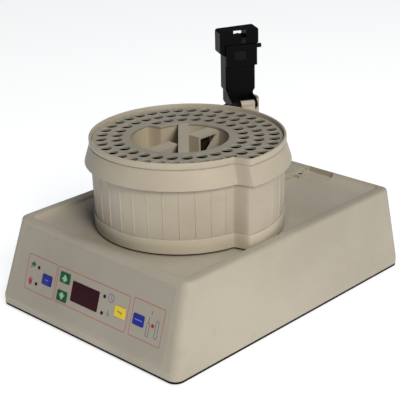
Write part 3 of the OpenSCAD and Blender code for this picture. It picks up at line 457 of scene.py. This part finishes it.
def well_radius(a):
    """a runs from the step in the well's wall, 0 to 360."""
    r = hole_radius(last_angle - 360 + a) - MARGIN
    t = (a - 360 + WELL_SPAN) / WELL_SPAN
    return r + RING_PITCH * smooth_step(t) if t > 0 else r


bead_angles = [9 + 10 * i for i in range(36) if 9 + 10 * i < 360 - STEP_SPAN - 2]
BEAD_HALF, BEAD_OUT = 0.52, 0.75
angles = {round(1.5 * i, 3) for i in range(240)}
angles |= {round(360 - STEP_SPAN * (1 - k / 14), 3) for k in range(14)}
for b in bead_angles:
    angles |= {round(b + d, 3) for d in (-0.75, -0.52, -0.36, -0.18, 0.0, 0.18, 0.36, 0.52, 0.75)}
angles = sorted(angles)


def bead_height(a):
    near = min(abs(a - b) for b in bead_angles)
    return BEAD_OUT * math.cos(near / BEAD_HALF * math.pi / 2) if near < BEAD_HALF else 0.0


def rack_ring(out, z, beads=0.0):
    ring = []
    for a in angles:
        r = edge_radius(a) + out + (beads * bead_height(a) if beads else 0.0)
        w = math.radians(a + STEP_TURN)
        ring.append((AX + r * math.cos(w), AY + r * math.sin(w), z))
    return ring


well_angles = sorted({round(2.0 * i, 3) for i in range(180)} |
                     {round(360 - WELL_SPAN * (1 - k / 14), 3) for k in range(14)})


def well_ring(out, z):
    ring = []
    for a in well_angles:
        r = well_radius(a) + out
        w = math.radians(a + last_angle + STEP_TURN)
        ring.append((AX + r * math.cos(w), AY + r * math.sin(w), z))
    return ring


BOWL_LOW = 104.6
profile = [(-6.2, 109.1, 0), (-6.2, BOWL_LOW, 0), (-3.7, BOWL_LOW, 0), (-3.4, 122.6, 0), (-3.3, 123.4, 0),
           (-3.3, 123.8, 1), (-2.1, 186.0, 1), (-2.1, 188.0, 0), (-2.0, 206.7, 0), (-4.4, 206.7, 0),
           (-5.9, 112.1, 0)]
bowl = add_object("rack_bowl_wall", loft("rack_bowl_wall", [rack_ring(*p) for p in profile], closed=True),
                  "rack", "rack", 24)
floor_rings = [rack_ring(-5.9, 109.1), rack_ring(-5.9, 112.1)]
add_object("rack_floor", loft("rack_floor", floor_rings, (True, True)), "rack", "rack")
well = [(0.0, 112.0), (0.0, PLATE_LOW - 0.1), (-2.6, PLATE_LOW - 0.1), (-2.6, 112.0)]
well_ob = add_object("rack_well_skin", loft("rack_well_skin", [well_ring(*p) for p in well], closed=True),
                     "rack", "rack", 24)


def inner_look(ob, look, test):
    """A second look for the faces that pass the test, given each face's centre (mm) and normal."""
    ob.data.materials.append(M[look])
    index = len(ob.data.materials) - 1
    for face in ob.data.polygons:
        if test(face.center / MM, face.normal):
            face.material_index = index


def towards_axis(centre, normal):
    return (centre.x - AX) * normal.x + (centre.y - AY) * normal.y < 0


# Painted shade: the bowl's lower edge at the deck and its inner faces above the floor are painted dark
inner_look(bowl, "painted_shade", lambda c, n: c.z < 105 or (c.z > 109.2 and towards_axis(c, n)))
# Painted shade on the well skin's outer faces, painted light on its inner faces that face the axis
inner_look(well_ob, "painted_shade", lambda c, n: not towards_axis(c, n))
inner_look(well_ob, "well", towards_axis)
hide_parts("rack_bowl")
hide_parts("rack_well_wall")

foot = [(-3.3, RACK_LOW), (-2.4, RACK_LOW), (-2.0, RACK_LOW + 1.2), (-1.9, 121.6), (-2.1, 122.3),
        (-2.8, 122.6), (-3.2, 122.6)]
# The foot band takes the lighter painted-light copy of the rack plastic
foot_ring = add_object("rack_foot_band", loft("rack_foot_band", [rack_ring(*p) for p in foot], closed=True),
                       "foot_band", "rack", 24)
# Painted shade: a dark line along the foot band's lowest millimetre, standing in for the shadow in the gap
# under it
inner_look(foot_ring, "painted_shade", lambda c, n: c.z < RACK_LOW + 1.0)
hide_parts("rack_foot_ring")

collar = [(-1.7, 206.7), (-1.5, 206.2), (-0.5, 205.6), (6.0, 184.9), (6.15, 184.3), (5.9, 183.85),
          (5.2, COLLAR_LOW), (4.0, COLLAR_LOW), (3.5, 184.3), (-1.8, 203.0), (-1.9, 206.3)]
collar_mesh = loft("rack_collar_flare", [rack_ring(*p) for p in collar], closed=True)
collar_ob = add_object("rack_collar_flare", collar_mesh, "rack", "rack", 24)
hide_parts("rack_collar")

band = [(-3.1, PLATE_LOW), (-1.3, PLATE_LOW), (-0.3, PLATE_LOW + 0.4), (0.0, PLATE_LOW + 1.1),
        (0.0, RIM_TOP - 1.1), (-0.3, RIM_TOP - 0.35), (-1.0, RIM_TOP), (-2.0, RIM_TOP),
        (-2.7, RIM_TOP - 0.35), (-3.0, RIM_TOP - 1.1)]
band_ob = add_object("rack_rim_band", loft("rack_rim_band", [rack_ring(*p) for p in band], closed=True),
                     "rack", "rack", 24)
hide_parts("rack_rim")

# The perforated plate, inside its rim with a narrow dark gap, as one filled outline with rounded edges
PLATE_GAP = 3.7
PLATE_EDGE = 0.45
plate_curve = bpy.data.curves.new("rack_plate", "CURVE")
plate_curve.dimensions = "2D"
plate_curve.fill_mode = "BOTH"
plate_curve.extrude = (PLATE_TOP - PLATE_LOW) / 2 * MM - PLATE_EDGE * MM
plate_curve.bevel_depth = PLATE_EDGE * MM
plate_curve.bevel_resolution = 2
plate_curve.offset = -PLATE_EDGE * MM


def spline(points):
    sp = plate_curve.splines.new("POLY")
    sp.points.add(len(points) - 1)
    for p, (x, y) in zip(sp.points, points):
        p.co = (x * MM, y * MM, 0, 1)
    sp.use_cyclic_u = True


spline([(x, y) for x, y, z in rack_ring(-PLATE_GAP, 0)])
spline([(x, y) for x, y, z in well_ring(-2.6, 0)])
for a in hole_angles:
    w = math.radians(a + STEP_TURN)
    r = hole_radius(a)
    spline(arc(AX + r * math.cos(w), AY + r * math.sin(w), HOLE_D / 2, 0, 345, 23))
plate = bpy.data.objects.new("rack_plate", plate_curve)
scene.collection.objects.link(plate)
plate.location = (0, 0, (PLATE_TOP + PLATE_LOW) / 2 * MM)
plate_curve.materials.append(M["plate"])
bpy.context.view_layer.update()
deps = bpy.context.evaluated_depsgraph_get()
plate_mesh = bpy.data.meshes.new_from_object(plate.evaluated_get(deps))
plate_mesh.transform(plate.matrix_world)
bpy.data.objects.remove(plate)
plate_mesh.materials.clear()
plate_ob = add_object("rack_plate_top", plate_mesh, "plate", "rack")
# Painted shade on the plate's downward-facing underside
inner_look(plate_ob, "painted_shade", lambda c, n: n.z < -0.8)
# Painted shade: the mid guide and the pillars inside the rack are painted dark all over
for name in ("rack_mid_guide", "guide_pillars"):
    nodes[name].data.materials[0] = M["painted_shade"]
inner_look(nodes["indicator_leds"], "led_lit", lambda c, n: c.x > 98)
# Painted shade inside the handle's hollow grip block, on its inner wall that faces the opening
inner_look(nodes["rack_handle"], "painted_shade",
           lambda c, n: n.x > 0.8 and abs(c.x - AX) < 6.5 and c.z < PLATE_TOP - 6)
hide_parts("rack_guide_plate")

# ------------------------------------------------------------- panel graphics

INK = {
    "red_line": (176, 96, 92), "green": (14, 82, 50), "red": (168, 34, 44), "violet": (110, 104, 150),
    "grey_green": (120, 140, 126), "slate": (84, 90, 116), "pale": (150, 190, 160),
    "pale_blue": (110, 118, 196), "amber": (150, 120, 30), "dark": (24, 20, 22),
}
for ink, rgb in INK.items():
    M["ink_" + ink] = moulded("ink_" + ink, rgb, 0.45, 3200, 0.03, 4)
PRINT_LOW, PRINT_HIGH = 0.22, 0.27
PRINT_MOVE, KEY_MARK_MOVE = (1.4, 0.4), (1.5, -5.0)


def printed(name, shapes, ink, body="housing", low=PRINT_LOW, high=PRINT_HIGH, move=PRINT_MOVE):
    """Flat printed shapes: each a closed outline on the panel, or a pair of outlines for a line's edges."""
    points, faces = [], []

    def place(u, v, w):
        return front_point(u + move[0], v + move[1], w)

    for shape in shapes:
        if isinstance(shape[0][0], (list, tuple)):
            outer, inner = shape
            n = len(outer)
            base = len(points)
            for w in (low, high):
                points += [place(u, v, w) for u, v in outer] + [place(u, v, w) for u, v in inner]
            for i in range(n):
                j = (i + 1) % n
                lo, li, ho, hi = base, base + n, base + 2 * n, base + 3 * n
                faces += [(ho + i, ho + j, hi + j, hi + i), (lo + i, lo + j, li + j, li + i),
                          (lo + i, lo + j, ho + j, ho + i), (li + i, li + j, hi + j, hi + i)]
        else:
            n = len(shape)
            base = len(points)
            points += [place(u, v, low) for u, v in shape] + [place(u, v, high) for u, v in shape]
            faces += [tuple(base + n + i for i in range(n)), tuple(base + i for i in range(n))]
            faces += [(base + i, base + (i + 1) % n, base + n + (i + 1) % n, base + n + i) for i in range(n)]
    return add_object(name, mesh_from(name, points, faces), "ink_" + ink, body)


def round_outline(u0, u1, v0, v1, r):
    pts = []
    corners = ((u1 - r, v1 - r), (u0 + r, v1 - r), (u0 + r, v0 + r), (u1 - r, v0 + r))
    for i, (cx, cy) in enumerate(corners):
        pts += arc(cx, cy, r, 90 * i, 90 * i + 90, 5)
    return pts


def frame_line(u0, u1, v0, v1, r, width):
    return (round_outline(u0, u1, v0, v1, r),
            round_outline(u0 + width, u1 - width, v0 + width, v1 - width, max(0.2, r - width)))


def circle_line(u, v, r, width):
    return (arc(u, v, r, 0, 345, 23), arc(u, v, r - width, 0, 345, 23))


def bar(u0, v0, u1, v1, width):
    du, dv = u1 - u0, v1 - v0
    k = width / 2 / math.hypot(du, dv)
    return [(u0 - dv * k, v0 + du * k), (u1 - dv * k, v1 + du * k), (u1 + dv * k, v1 - du * k),
            (u0 + dv * k, v0 - du * k)]


printed("panel_boxes", [frame_line(-113, -60, 19, 62.5, 2.0, 0.9), frame_line(-58, 64.5, 20, 62.5, 2.0, 0.9),
                        frame_line(69.5, 119, 20.5, 64, 2.0, 0.9)], "red_line")
# Start sign: an arrow with a tail
printed("start_sign", [[(-107, 49.6), (-102, 49.6), (-102, 47.4), (-97.6, 51.4), (-102, 55.4), (-102, 53.0),
                        (-105, 53.0)], bar(-106.5, 46.4, -103.4, 48.6, 1.1)], "green")
# Stop sign: a disc with a raised bar
printed("stop_sign", [arc(-103.4, 29.0, 3.1, 0, 330, 11), bar(-103.4, 31.0, -103.4, 35.2, 2.0),
                      bar(-105.8, 30.0, -106.4, 33.4, 1.3), bar(-101.2, 30.0, -100.4, 33.4, 1.3)], "red")
printed("clock_sign", [circle_line(34.9, 51.3, 5.2, 1.0), bar(34.9, 51.3, 34.9, 54.6, 0.9),
                       bar(34.9, 51.3, 37.4, 50.2, 0.9)], "violet")
drop = [(33.6, 38.4)] + arc(33.6, 31.6, 2.4, 30, -210, 14)
printed("drop_sign", [drop], "grey_green")
printed("feed_sign", [frame_line(94.8, 99.4, 26.5, 43.0, 2.0, 0.8), bar(97.1, 43.0, 97.1, 49.5, 0.9),
                      bar(99.6, 52.0, 99.6, 57.0, 0.9)], "slate")
printed("tube_sign", [frame_line(107.6, 112.6, 28.0, 49.0, 2.2, 0.8)], "slate")

KEY_TOP = 0.7


def key_mark(name, body, shapes, ink):
    printed(name, shapes, ink, body, KEY_TOP - 0.02, KEY_TOP + 0.06, KEY_MARK_MOVE)


key_mark("up_mark", "up_button",
         [[(-44.5, 60.8), (-39.6, 54.2), (-42.4, 54.2), (-42.4, 52.2), (-46.6, 52.2), (-46.6, 54.2),
           (-49.4, 54.2)]], "pale")
key_mark("down_mark", "down_button",
         [[(-45.0, 30.0), (-40.1, 36.6), (-42.9, 36.6), (-42.9, 38.6), (-47.1, 38.6), (-47.1, 36.6),
           (-49.9, 36.6)]], "pale")
key_mark("run_mark", "run_button", [bar(-77.2, 44.7, -71.8, 44.7, 1.3)], "pale_blue")
key_mark("mode_mark", "mode_button", [bar(48.4, 46.2, 55.6, 44.8, 1.5)], "amber")
key_mark("manual_mark", "manual_button", [bar(75.5, 46.3, 87.5, 46.3, 1.3)], "pale_blue")

# --------------------------------------------- softened edges on the CAD pieces

SOFT_EDGES = {
    "rack_handle": 0.8, "arm_plinth": 1.0, "arm_shell": 0.8, "arm_cover": 0.6, "drop_head": 0.5,
    "run_key": 0.35, "up_key": 0.35, "down_key": 0.35, "mode_key": 0.35, "manual_key": 0.35,
    "power_rocker": 0.5, "switch_frame": 0.4, "mains_inlet": 0.4, "fuse_holder": 0.4,
    "display_window": 0.1, "arm_post": 0.5,
}
for name, width in SOFT_EDGES.items():
    ob = nodes[name]
    weld = ob.modifiers.new("weld", "WELD")
    weld.merge_threshold = 0.00001
    soft = ob.modifiers.new("soft", "BEVEL")
    soft.width = width * MM
    soft.segments = 2
    soft.limit_method = "ANGLE"
    soft.angle_limit = math.radians(40)
    soft.harden_normals = True
